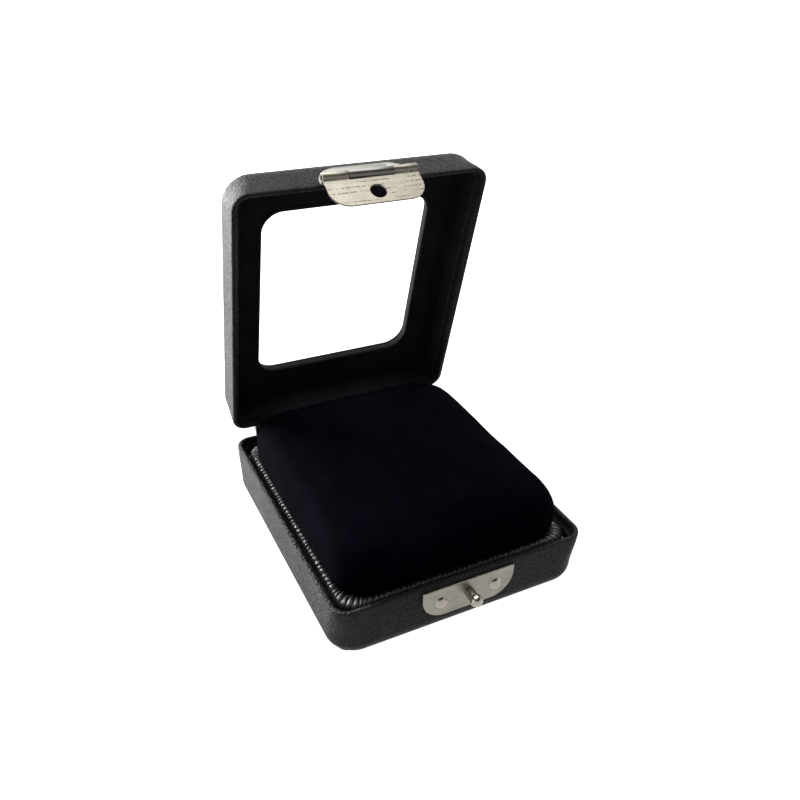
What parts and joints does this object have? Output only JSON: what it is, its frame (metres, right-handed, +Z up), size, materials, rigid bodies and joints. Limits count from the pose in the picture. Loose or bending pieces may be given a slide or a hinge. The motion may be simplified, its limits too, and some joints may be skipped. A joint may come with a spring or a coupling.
{
  "type": "jewelry box",
  "caption": "Small hinged presentation box in black leatherette with a windowed lid, a high velvet pad in a pleated border, and a metal hasp that hooks over a ball stud.",
  "frame": {"origin": "centre of the base's flat underside", "axes": "+X to the right seen from the clasp side, -Y towards the clasp, +Z up; the hinge runs along X at the back"},
  "size_m": [0.09, 0.1234, 0.1273],
  "materials": {
    "moulded_board": "dull moulded board, hidden under the covering",
    "leatherette": "fine pebble-grained black leatherette with a soft sheen",
    "lining_fabric": "thin black flocked lining",
    "lining_velvet": "short-pile black velvet on card",
    "trim_ribbon": "narrow black satin binding",
    "grey_card": "plain grey card",
    "foam": "open-cell foam",
    "pad_velvet": "deep black velvet with a faint blue pile sheen",
    "pleated_satin": "black satin gathered in narrow pleats",
    "nickel_plate": "nickel plate, lightly rolled",
    "nickel_polished": "polished nickel",
    "nickel_engraved": "nickel with rows of fine engraved lines",
    "black_lacquer": "black lacquer on steel",
    "steel_pin": "bright drawn wire",
    "clear_pane": "clear sheet, thin and even"
  },
  "bodies": {
    "base": {"base_shell": "moulded_board", "base_wrap": "leatherette", "base_lining": "lining_fabric", "pad_riser": "grey_card", "pad_board": "grey_card", "pad_foam": "foam", "velvet_pad": "pad_velvet", "pleated_border": "pleated_satin", "clasp_plate": "nickel_plate", "clasp_rivets": "nickel_polished", "clasp_stud": "nickel_polished", "hinge_leaf_base": "black_lacquer", "hinge_rivets_base": "black_lacquer", "hinge_pin": "steel_pin", "hinge_strip": "leatherette"},
    "lid": {"lid_shell": "moulded_board", "lid_wrap": "leatherette", "lid_wall_lining": "lining_fabric", "lid_ceiling_lining": "lining_velvet", "window_trim": "trim_ribbon", "window_pane": "clear_pane", "hinge_leaf_lid": "black_lacquer", "hinge_rivets_lid": "black_lacquer", "hasp_leaf": "nickel_plate", "hasp_rivets": "nickel_polished"},
    "hasp_pin_body": {"hasp_pin": "nickel_polished"},
    "hasp_flap_body": {"hasp_flap": "nickel_engraved"}
  },
  "joints": [
    {"name": "lid_hinge", "type": "hinge", "parent": "base", "child": "lid", "pos_m": [0, 0.0531, 0.0228], "axis": [1, 0, 0], "range_deg": [0, 75.6], "deforming": ["hinge_strip"]},
    {"name": "hasp_follow", "type": "hinge", "parent": "lid", "child": "hasp_pin_body", "pos_m": [0, 0.02504, 0.12565], "axis": [-1, 0, 0], "range_deg": [0, 63]},
    {"name": "hasp_swing", "type": "hinge", "parent": "hasp_pin_body", "child": "hasp_flap_body", "pos_m": [0, 0.02504, 0.12565], "axis": [-1, 0, 0], "range_deg": [-45, 105]}
  ],
  "couplings": [
    {"joint": "hasp_follow", "follows": "lid_hinge", "ratio": 0.83333}
  ]
}
